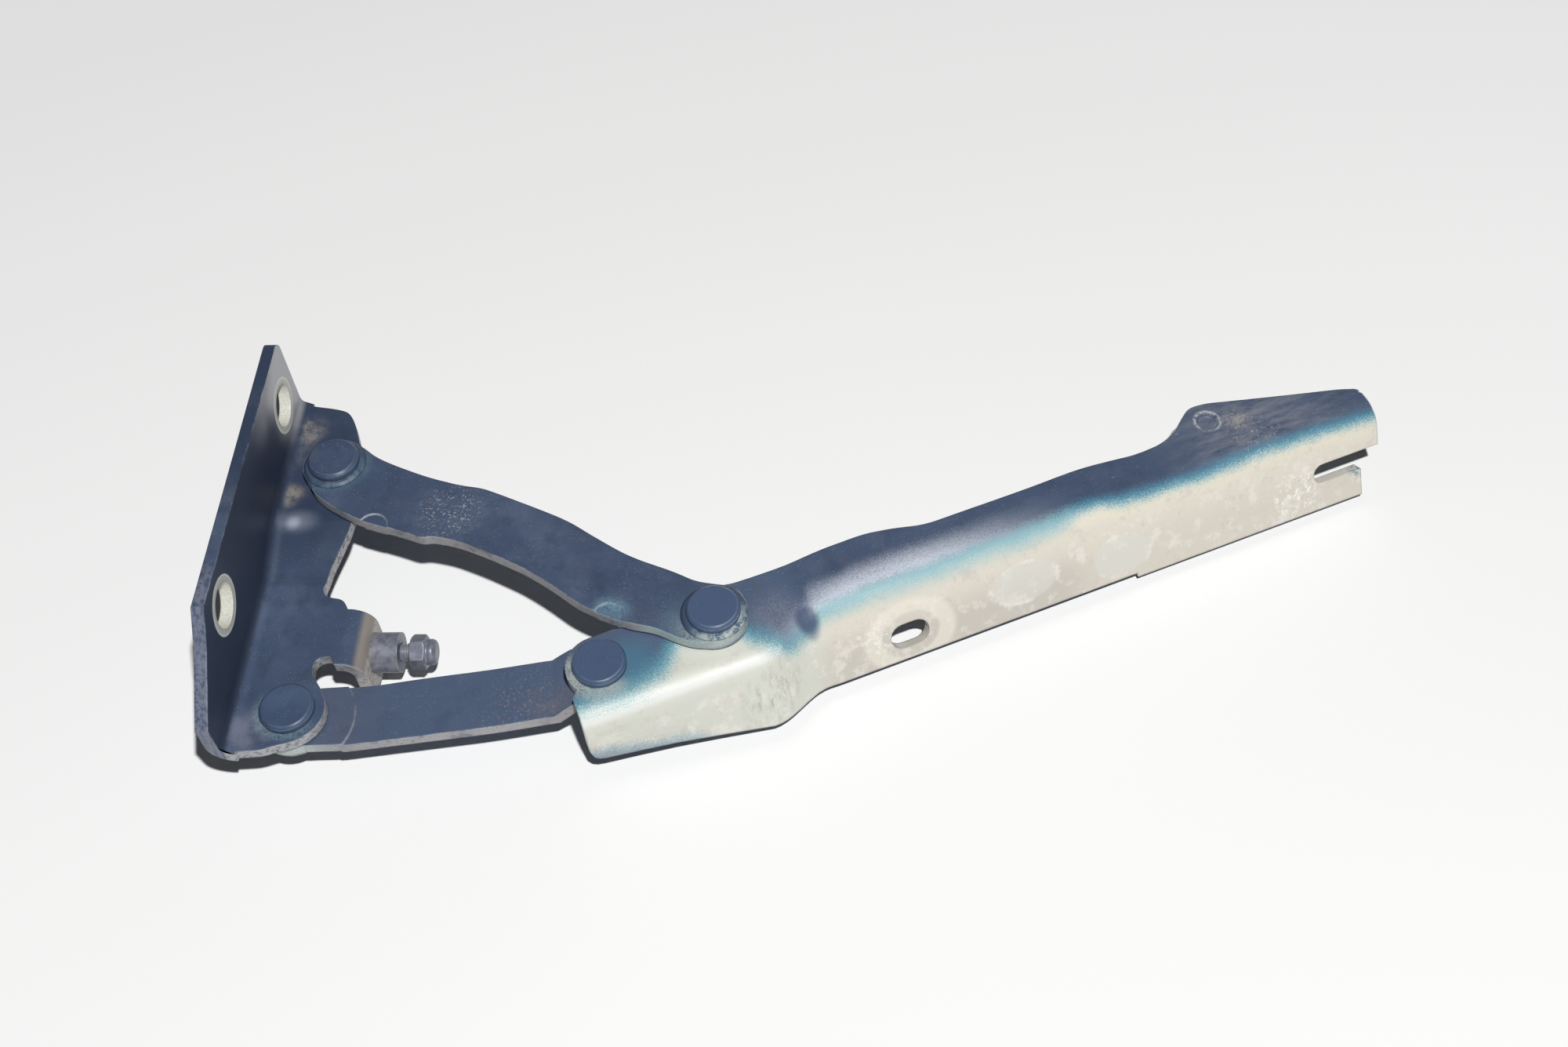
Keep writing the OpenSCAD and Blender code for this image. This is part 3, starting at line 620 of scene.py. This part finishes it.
# %% Paint the links
PAD_BY_ARM = (119.4, 4.9)
LOWER_LINK_ANGLE = math.radians(7.3)
LOWER_LINK_CLIMB = (81, 88, LOWER_LINK_ANGLE)
UPPER_LINK_WEAR = (
    (P2, 11.5, 15.5, tone(196, 204, 200), 0.95, (0.5, -0.86)),
    (P2, 12.0, 20.0, tone(96, 128, 146), 0.55, (-0.2, -0.98)),
    (PAD_BY_ARM, 3.0, 9.0, tone(120, 166, 184), 0.7, (0.3, 0.95)),
    (P1, 10.5, 14.0, tone(92, 122, 138), 0.5, (0.3, -0.95)))
LOWER_LINK_WEAR = (
    (P4, 12.0, 34.0, PURPLE, 0.5, (1, 0)),
    ((102, -14), 3.0, 14.0, tone(124, 114, 110), 0.6, (0.2, -1)))
dress(["upper_link"], link_material("upper_link_paint", 11, 0.35, UPPER_LINK_WEAR, ((146, -8), 14, 24)))
dress(["lower_link"], link_material("lower_link_paint", 57, 0.8, LOWER_LINK_WEAR, (P4, 8, 22),
                                    LOWER_LINK_CLIMB))

# %% [markdown]
# ## The bonnet arm
#
# The arm was probably bolted to the bonnet when the hinge was sprayed: its sloping flange kept the pale
# primer, its web took the blue, and in between the paint thins out to a teal haze that follows the fold.
# The line between them is drawn as the distance from the fold at places along the arm. Everything
# is measured in the arm's own directions: along it, across it, and down the slope.

# %% Find the arm's own directions
ARM_ANGLE = math.radians(23.1)
LEAN = math.radians(25)
WEB_TOP = -19.5
FOLD_BY_PIVOTS = 18.5
FOLD_BY_BONNET = 9.6
FOLD_SLOPE = 0.58
# Place along the arm, and the paint's edge there, as its distance from the fold
PAINT_LINE = ((-52, 8.0), (-45, 6.4), (-34, 6.2), (-25, 7.4), (-20, 10.0), (-15, 15), (-10, 19), (0, 18),
              (6, 11), (11, 6.5), (16, 1.0), (21, -4.0), (27, -4.4), (32, 0.2), (52, 1.3), (93, 1.4),
              (114, 1.8), (124, 3.0), (140, 0.0), (156, -0.9), (195, 0.1), (215, -0.9), (236, -2.2))


class ArmBench(PaintBench):
    """The arm's paint bench, with its directions, its ends and the line of its paint at hand."""

    def __init__(self, name):
        super().__init__(name)
        dx, dy = self.x - P2[0], self.y - P2[1]
        self.along = dx * math.cos(ARM_ANGLE) + dy * math.sin(ARM_ANGLE)
        self.across = dy * math.cos(ARM_ANGLE) - dx * math.sin(ARM_ANGLE)
        self.down = (WEB_TOP - self.z) / math.cos(LEAN)
        jog = (FOLD_BY_PIVOTS - FOLD_BY_BONNET) * self.step(self.along, 8, 30)
        self.fold = self.across + FOLD_BY_PIVOTS - jog - FOLD_SLOPE * self.down
        self.on_arm = self.node("ShaderNodeCombineXYZ", None, (self.along, self.across, self.down))
        self.fine = self.noise(0.7, 3, 0.6)
        self.cloud = self.noise(16, 5, 0.6, 21)
        self.patch = self.noise(6, 6, 0.7, 33)
        self.near = self.step(self.along, 36, 22)
        self.far = self.step(self.along, 112, 128)
        self.spray = (self.noise(0.34, 1, 0.5, 8) - 0.5) * (7.0 + 6.0 * self.near)
        self.line = (self.fold - self.curve(self.along, PAINT_LINE)
                     + (self.cloud - 0.5) * 5 + self.spray)


print("paint line of", len(PAINT_LINE), "points, from", PAINT_LINE[0][0], "to", PAINT_LINE[-1][0], "mm")

# %% Mix the arm's primer
PRIMER = tone(221, 215, 202)
PRIMER_LOW = tone(188, 183, 173)
PRIMER_WARM = tone(227, 221, 201)
PRIMER_NEAR = tone(212, 214, 204)
PRIMER_BRIGHT = tone(238, 235, 228)
PRIMER_PINK = tone(204, 190, 186)
PRIMER_OCHRE = tone(196, 190, 170)
PRIMER_STAIN = tone(168, 168, 158)
LOW_HAZE = tone(122, 140, 160)
TEAL_PALE = tone(146, 186, 192)
FOLD_HIGHLIGHT_WHITE = tone(238, 241, 240)


def bare_primer(b):
    """Bare primer, cooler low on the flange, creamier beside the paint, and stained by the jog."""
    primer = b.mix(PRIMER, PRIMER_LOW, b.step(b.down, 5, 22) * (0.75 - 0.4 * b.far))
    primer = b.mix(primer, PRIMER_WARM, b.step(b.line, -9, -3) * (0.35 + 0.3 * b.far) * (1 - b.near))
    primer = b.mix(primer, PRIMER_NEAR, b.near * 0.85)
    primer = b.mix(primer, PRIMER_BRIGHT, b.step(b.patch, 0.5, 0.64) * b.step(b.down, 5, 10) * 0.45)
    primer = b.mix(primer, PRIMER_PINK, b.step(b.noise(5, 6, 0.75, 71), 0.54, 0.64) * 0.5)
    primer = b.mix(primer, PRIMER_OCHRE, b.step(b.noise(2.4, 6, 0.8, 17), 0.6, 0.7) * 0.5)
    stain = b.step(b.noise(3, 5, 0.75, 29, (1.6, 1.0, 0.4), b.on_arm), 0.46, 0.66)
    return b.mix(primer, PRIMER_STAIN, b.spot(b.along, b.down, (10, 16), 4, 15) * stain * 0.75)


def near_end_haze_and_highlight(b, primer):
    """A bluish haze along the near end's lower edge, and a painted white highlight along the fold."""
    low = b.step(b.down - (b.along + 52) * 0.2 + (b.cloud - 0.5) * 4 + b.spray, 13, 20)
    low = low * b.step(b.along, -4, -22)
    primer = b.mix(primer, LOW_HAZE, low * 0.85)
    primer = b.mix(primer, TEAL_PALE, b.step(low, 0.15, 0.5) * b.step(low, 0.9, 0.6) * 0.5)
    # Painted highlight: the sheen along the fold is painted white.
    painted_shine = b.step(b.fold, -3.5, -0.8) * b.step(b.fold, 2.6, 0.5) * b.near
    return b.mix(primer, FOLD_HIGHLIGHT_WHITE, painted_shine * 0.6)


print("primer", [round(v, 3) for v in PRIMER[:3]])

# %% Lay the arm's blue and teal
TEAL = tone(72, 130, 154)
LILAC_HIGHLIGHT = tone(212, 218, 230)
WORN_WEB = tone(130, 133, 143)


def arm_blue(b):
    """The arm's blue coat, streaked and worn towards its free end and teal by the near eye."""
    streak = b.step(b.noise(5, 6, 0.7, 33, (0.5, 1.6, 1.0), b.on_arm), 0.3, 0.75)
    worn = b.spot(b.along, b.across, (196, 0), 6, 46) * streak * 0.9
    blue = b.mix(blue_paint(b, 101, 0.55 + 0.45 * b.near), WORN_WEB, worn)
    return b.mix(blue, TEAL, 0.5 * b.near * b.spot(b.x, b.y, (127, -9), 2, 12))


def arm_coats(b, primer, blue):
    """The teal haze on the primer, the blue coat above it, and a lilac band along the fold: a painted
    highlight over thin grey paint.
    """
    teal = b.mix(TEAL_PALE, TEAL, b.step(b.line, -3.5, 2.5) * (0.3 + 0.7 * b.far + 0.5 * b.near))
    colour = b.mix(primer, teal, b.step(b.line, -9.0 + 4.5 * b.far + 1.5 * b.near, 0.5))
    colour = b.mix(colour, blue, b.step(b.line, 0.4, 5.0 + 3.0 * b.near))
    # Painted highlight: the fold's sheen is painted lilac white over a thin grey overspray.
    lilac_highlight = b.step(b.line, 0.0, 3.6) * b.step(b.line, 13.0, 3.2)
    lilac_highlight = lilac_highlight * b.step(b.along, 128, 60) * b.step(b.along, 6, 46)
    return b.mix(colour, LILAC_HIGHLIGHT, lilac_highlight * b.step(b.fine + b.cloud * 0.5, 0.1, 0.9) * 0.95)


print("teal", [round(v, 3) for v in TEAL[:3]], "lilac_highlight", [round(v, 3) for v in LILAC_HIGHLIGHT[:3]])

# %% Wear the arm by its jog and lower rivet
JOG_HAZE = tone(128, 132, 150)
DENT_BLUE = tone(58, 72, 104)
EYE_WEAR = tone(176, 182, 176)


def jog_marks(b, colour):
    """A greyish haze at the jog, a dent that kept its blue, and the worn ring of the lower rivet."""
    haze = b.spot(b.along, b.across, (19, -4), 1, 12) * b.step(b.fine + b.patch * 0.6, 0.5, 1.0)
    colour = b.mix(colour, JOG_HAZE, haze * 0.7)
    dent = b.spot(b.along, b.across, (27, -9.5), 1.0, 6.5)
    colour = b.mix(colour, DENT_BLUE, b.step(dent, 0.1, 0.9) * 0.85)
    eye = b.reach(b.x, b.y, P3) + (b.patch - 0.5) * 3
    worn = b.step(eye, 15.0, 9.5) * b.step((P3[0] - b.x) * 0.5 - (b.y - P3[1]), -1, 6)
    return b.mix(colour, EYE_WEAR, worn * b.step(b.fine + b.patch * 0.6, 0.5, 0.9) * 0.8)


print("lower rivet's eye at", P3)

# %% Mark the arm's primer
CLAMP_RING = tone(236, 231, 218)
PAD_PALE = tone(216, 215, 208)
PAD_RIM = tone(238, 236, 228)
SCUFF = tone(248, 246, 238)
SCRATCH = tone(245, 243, 238)
CLAMP_PLACE = (59.1, 19.5)
PAD_PLACES = ((100.4, 16.1, 12.5), (136.0, 19.2, 11.0))
PAD_TALL = 7.6


def clamp_marks(b, colour):
    """The clamp's ring round the closed slot, and two oval pads with pale rims."""
    clamp = b.reach((b.along - CLAMP_PLACE[0]) * 0.8, b.down, (0, CLAMP_PLACE[1])) + 1.5 * b.patch
    ring = b.step(clamp, 8.2, 9.4) * b.step(clamp, 14.5, 12.5) * b.step(b.down, 2, 5)
    colour = b.mix(colour, CLAMP_RING, ring * 0.5)
    for along, down, wide in PAD_PLACES:
        pad = b.reach((b.along - along) * (PAD_TALL / wide), b.down, (0, down)) + 0.9 * b.patch
        colour = b.mix(colour, PAD_PALE, b.step(pad, 8.3, 6.9) * 0.55)
        rim = b.step(pad, 8.9, 8.0) * b.step(pad, 7.0, 7.8)
        colour = b.mix(colour, PAD_RIM, rim * b.step(b.patch, 0.44, 0.6) * 0.45)
    return colour


def primer_scuffs(b, colour):
    """Scuffs by the open slot and by the jog, and fine scratches along the arm."""
    scuffs = b.spot(b.along, b.down, (202, 20), 4, 13) + 0.7 * b.spot(b.along, b.down, (48, 16), 2, 12)
    colour = b.mix(colour, SCUFF, scuffs * b.step(b.noise(2.2, 6, 0.8, 63), 0.5, 0.6) * 0.85)
    scratch = b.step(b.noise(0.8, 5, 0.8, 12, (0.15, 1.0, 1.0), b.on_arm), 0.62, 0.7)
    return b.mix(colour, SCRATCH, scratch * b.step(b.patch, 0.48, 0.6) * b.step(b.along, 0, 30) * 0.5)


print("clamp ring at", CLAMP_PLACE, "pads at", [place[:2] for place in PAD_PLACES])

# %% Wear the arm's free end and edges
DIMPLE_PLACE = (180.8, 9.4)
DIMPLE_RIM = tone(190, 195, 200)
CHIP = tone(214, 214, 212)
TAB_DUST = tone(176, 170, 164)
ARM_RIM = tone(214, 216, 220)
ARM_TIP = tone(232, 234, 236)


def tab_marks(b, colour):
    """The dimple's rubbed rim, chipped paint round it, and dust on the tab."""
    dimple = b.reach(b.along, b.across, DIMPLE_PLACE) + 0.8 * b.patch
    rim = b.step(dimple, 3.7, 4.3) * b.step(dimple, 5.6, 4.6) * b.step(b.nz, 0.3, 0.6)
    colour = b.mix(colour, DIMPLE_RIM, rim * b.step(b.fine + b.patch, 0.85, 1.15) * 0.85)
    chips = b.spot(b.along, b.across, (192, -2), 3, 13) * b.step(b.noise(1.6, 6, 0.85, 3), 0.56, 0.64)
    colour = b.mix(colour, CHIP, chips * 0.8)
    dust = b.spot(b.along, b.across, (190, 6), 1, 7) * b.step(b.fine + b.patch, 0.85, 1.2)
    return b.mix(colour, TAB_DUST, dust * 0.7)


def arm_edges(b, colour, edge):
    """The web's bare cut edge, rubbed rims, and a teal tip to the finger beside the open slot."""
    cut = cut_edge_mask(b) * b.step(b.down, 1.0, 0.2)
    colour = b.mix(colour, BARE_EDGE, cut * b.step(b.noise(1.4, 4, 0.7), 0.36, 0.55) * 0.6)
    colour = b.mix(colour, ARM_RIM, edge * b.step(b.patch, 0.44, 0.6) * b.step(b.down, 3, 0) * 0.5)
    tip = b.spot(b.along, b.down, (226, 19.5), 0.5, 4.5) * b.step(b.noise(1.6, 4, 0.7, 91), 0.44, 0.56)
    colour = b.mix(colour, TEAL, tip * 0.8)
    return b.mix(colour, ARM_TIP, edge * b.step(b.along, 226, 232) * b.step(b.fine, 0.35, 0.55))


print("dimple at", DIMPLE_PLACE)

# %% Paint the arm
def arm_material():
    b = ArmBench("arm_primer_and_paint")
    normal, edge = rounded(b, 0.9)
    blue = arm_blue(b)
    colour = arm_coats(b, near_end_haze_and_highlight(b, bare_primer(b)), blue)
    colour = primer_scuffs(b, clamp_marks(b, jog_marks(b, colour)))
    colour = arm_edges(b, tab_marks(b, colour), edge)
    underside = b.step(b.nz, -0.2, -0.6)
    colour = b.mix(colour, blue, underside * 0.9)
    rough = 0.36 + 0.2 * b.cloud - 0.06 * b.step(b.line, 0, 3)
    return finish_surface(b, colour, rough, normal, 0.5 * b.fine + 0.8 * b.patch, 0.06)


dress(["bonnet_arm"], arm_material())

# %% [markdown]
# ## Rivets, bushes and washers
#
# The rivets and the bush rims under them were sprayed with the rest, so they are blue too. Their lower right
# side is rubbed to a pale teal rim, and that rim is also a painted highlight. Each rivet gets its own copy of
# the recipe, because the rubbing and the highlight are measured from its own centre. Washers and spacers stay
# dull metal.

# %% Paint the rivets and the bush rims
# The lower right side, where the rims are rubbed and a highlight is painted.
LIT_AND_WORN_SIDE = (0.55, -0.83)
HEAD_BLUE = tone(70, 90, 122)
HEAD_RIM_SHEEN_AND_WEAR = tone(178, 198, 206)
BUSH_DARK = tone(60, 74, 98)
BUSH_TEAL_SHEEN_AND_WEAR = tone(110, 146, 160)
BUSH_BARE = tone(206, 208, 198)


def towards_lit_and_worn_side(b, centre):
    """How far a point lies from a pivot's centre, towards the lower right side that is rubbed and carries a
    painted highlight.
    """
    return (b.x - centre[0]) * LIT_AND_WORN_SIDE[0] + (b.y - centre[1]) * LIT_AND_WORN_SIDE[1]


def rivet_material(name, centre, wear_and_sheen):
    shift = centre[0]
    b = PaintBench(name)
    normal, edge = rounded(b, 0.9, 8)
    fine = b.noise(0.7, 3, 0.6, shift)
    wide = b.noise(5, 4, 0.6, 77 + shift)
    colour = b.mix(blue_paint(b, 31 + shift, wear_and_sheen), HEAD_BLUE, wear_and_sheen)
    # The pale rim towards the lower right is rubbed paint and a painted highlight.
    rubbed_and_lit = b.step(towards_lit_and_worn_side(b, centre), 1.5, 7.5)
    colour = b.mix(colour, HEAD_RIM_SHEEN_AND_WEAR, edge * (0.25 + wear_and_sheen * rubbed_and_lit) * b.step(wide, 0.3, 0.55))
    rough = 0.3 + 0.16 * wide
    return finish_surface(b, colour, rough, normal, 0.6 * fine + wide, 0.05)


def bush_material(name, centre, wear_and_sheen):
    b = PaintBench(name)
    normal, _ = rounded(b, 0.5)
    grime = b.noise(2.5, 5, 0.7, 19)
    # The pale teal towards the lower right is rubbed paint and a painted highlight on the rim's slope.
    worn = b.step(towards_lit_and_worn_side(b, centre), -2, 9) * b.step(grime, 0.3, 0.6) * (wear_and_sheen + 0.1)
    colour = b.mix(b.mix(BUSH_DARK, BUSH_TEAL_SHEEN_AND_WEAR, worn), BUSH_BARE, worn * worn)
    return finish_surface(b, colour, 0.36 + 0.2 * grime, normal, grime, 0.04)


for pivot, centre, wear_and_sheen in (("bracket_upper", P1, 0.15), ("arm_upper", P2, 0.7),
                            ("arm_lower", P3, 0.6), ("bracket_lower", P4, 0.3)):
    rivet, bush = "rivet_" + pivot, "bush_" + pivot
    dress([rivet], rivet_material(rivet + "_paint", centre, wear_and_sheen))
    dress([bush], bush_material(bush + "_paint", centre, wear_and_sheen))

# %% Tint the spacers and washers
METAL_RIM = tone(210, 212, 214)


def dull_metal(name, low, high, metallic):
    b = PaintBench(name)
    normal, edge = rounded(b, 0.4)
    fine = b.noise(0.6, 3, 0.7, 2)
    grime = b.noise(3.5, 5, 0.7, 19)
    colour = b.mix(low, high, b.step(grime, 0.4, 0.62))
    colour = b.mix(colour, METAL_RIM, edge * 0.4)
    return finish_surface(b, colour, 0.4 + 0.25 * grime, normal, fine, 0.04, metallic)


dress(["spacer_bracket_upper", "spacer_arm_upper"],
      dull_metal("spacer_metal", tone(96, 104, 122), tone(140, 146, 154), 0.2))
dress(["washer_arm_upper", "washer_arm_lower", "washer_bracket_lower"],
      dull_metal("washer_zinc", tone(120, 124, 126), tone(170, 172, 170), 0.6))

# %% [markdown]
# ## The closing stop
#
# A collar is welded to the bracket's lug, and a stop screw stands in it: a bit of thread, a hexagon with
# turned corners, and a rounded button that meets the arm. The CAD solid has plain cylinders, so the screw
# is rebuilt here. A boolean of a thread and a hexagon would also work, but one sweep is simpler: rings of
# points run along the axis, and each point's radius depends on its place and its angle, which makes
# thread, flats and button in a single skin.

# %% Shape the stop screw
STOP_AXIS = (4.6, -34.0)
THREAD_START, THREAD_END, THREAD_R, PITCH = 49.5, 54.0, 3.0, 1.0
THREAD_DEPTH, THREAD_FLANK, THREAD_STEPS = 0.62, 1.35, 72
HEX_START, HEX_END, HEX_HALF = 54.0, 58.8, 5.0
HEX_CORNER, HEX_CHAMFER = 0.05, 1.6
HEX_SHARES = (0.0, 0.03, 0.06, 0.1, 0.14, 0.5, 0.86, 0.9, 0.94, 0.97, 1.0)
BUTTON_END, BUTTON_R, BUTTON_ROUND, BUTTON_STEPS = 62.0, 4.25, 1.7, 12
NECK, CAP_R = 0.3, 1.0


def thread_radius(x, turn):
    """A V thread: high on the crest, low in the groove, and one pitch further on each turn."""
    ramp = (x / PITCH - turn / math.tau) % 1.0
    return THREAD_R - THREAD_DEPTH * min(1.0, THREAD_FLANK * abs(2 * ramp - 1))


def hexagon_radius(x, turn):
    """Flats at half the key width, with the corners turned off towards both faces."""
    flat = HEX_HALF / math.cos((turn + math.pi / 6) % (math.pi / 3) - math.pi / 6)
    return min(flat, HEX_HALF + HEX_CORNER + HEX_CHAMFER * min(x - HEX_START, HEX_END - x))


def round_radius(radius):
    """The same radius all the way round."""
    return lambda x, turn: radius


rings = [(THREAD_START + i * (THREAD_END - THREAD_START) / THREAD_STEPS, thread_radius)
         for i in range(THREAD_STEPS + 1)]
rings += [(HEX_START + share * (HEX_END - HEX_START), hexagon_radius) for share in HEX_SHARES]
rings += [(HEX_END, round_radius(BUTTON_R + NECK)), (HEX_END + NECK, round_radius(BUTTON_R))]
for i in range(BUTTON_STEPS + 1):
    bend = i / BUTTON_STEPS * math.pi / 2
    rings.append((BUTTON_END - BUTTON_ROUND * (1 - math.sin(bend)),
                  round_radius(BUTTON_R - BUTTON_ROUND * (1 - math.cos(bend)))))
rings.append((BUTTON_END, round_radius(CAP_R)))
print("stop screw:", len(rings), "rings from", rings[0][0], "to", rings[-1][0], "mm")

# %% Sweep the stop screw
SIDES = 96
CREASE = math.radians(28)
skin_points = []
for x, radius in rings:
    for k in range(SIDES):
        turn = k / SIDES * math.tau
        r = radius(x, turn)
        skin_points.append((x * MM, (STOP_AXIS[0] + r * math.cos(turn)) * MM,
                            (STOP_AXIS[1] + r * math.sin(turn)) * MM))
skin_faces = [tuple(range(SIDES))[::-1], tuple((len(rings) - 1) * SIDES + k for k in range(SIDES))]
for i in range(len(rings) - 1):
    for k in range(SIDES):
        after = (k + 1) % SIDES
        skin_faces.append((i * SIDES + k, i * SIDES + after, (i + 1) * SIDES + after, (i + 1) * SIDES + k))
screw_mesh = bpy.data.meshes.new("threaded_stop_screw")
screw_mesh.from_pydata(skin_points, [], skin_faces)
screw_mesh.polygons.foreach_set("use_smooth", [True] * len(skin_faces))
screw_mesh.set_sharp_from_angle(angle=CREASE)
screw = bpy.data.objects.new("threaded_stop_screw", screw_mesh)
scene.collection.objects.link(screw)
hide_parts("stop_screw")
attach(screw, "bracket")
print("stop screw:", len(skin_faces), "faces")

# %% Paint the stop
STOP_GREY = tone(104, 109, 124)
STOP_PALE = tone(142, 144, 154)
STOP_RIM = tone(214, 216, 222)


def stop_material():
    b = PaintBench("stop_paint")
    normal, edge = rounded(b, 0.5)
    fine = b.noise(0.5, 3, 0.6, 5)
    grime = b.noise(4, 5, 0.7, 47)
    colour = b.mix(STOP_GREY, STOP_PALE, b.step(grime, 0.36, 0.66))
    colour = b.mix(colour, DUST, b.step(b.x, 44, 41.5) * b.step(grime, 0.4, 0.6) * 0.6)
    colour = b.mix(colour, STOP_RIM, edge * 0.55)
    return finish_surface(b, colour, 0.3 + 0.2 * grime, normal, 0.5 * fine + 0.5 * grime, 0.04, 0.25)


stop_paint = stop_material()
dress(["stop_boss"], stop_paint)
screw_mesh.materials.append(stop_paint)
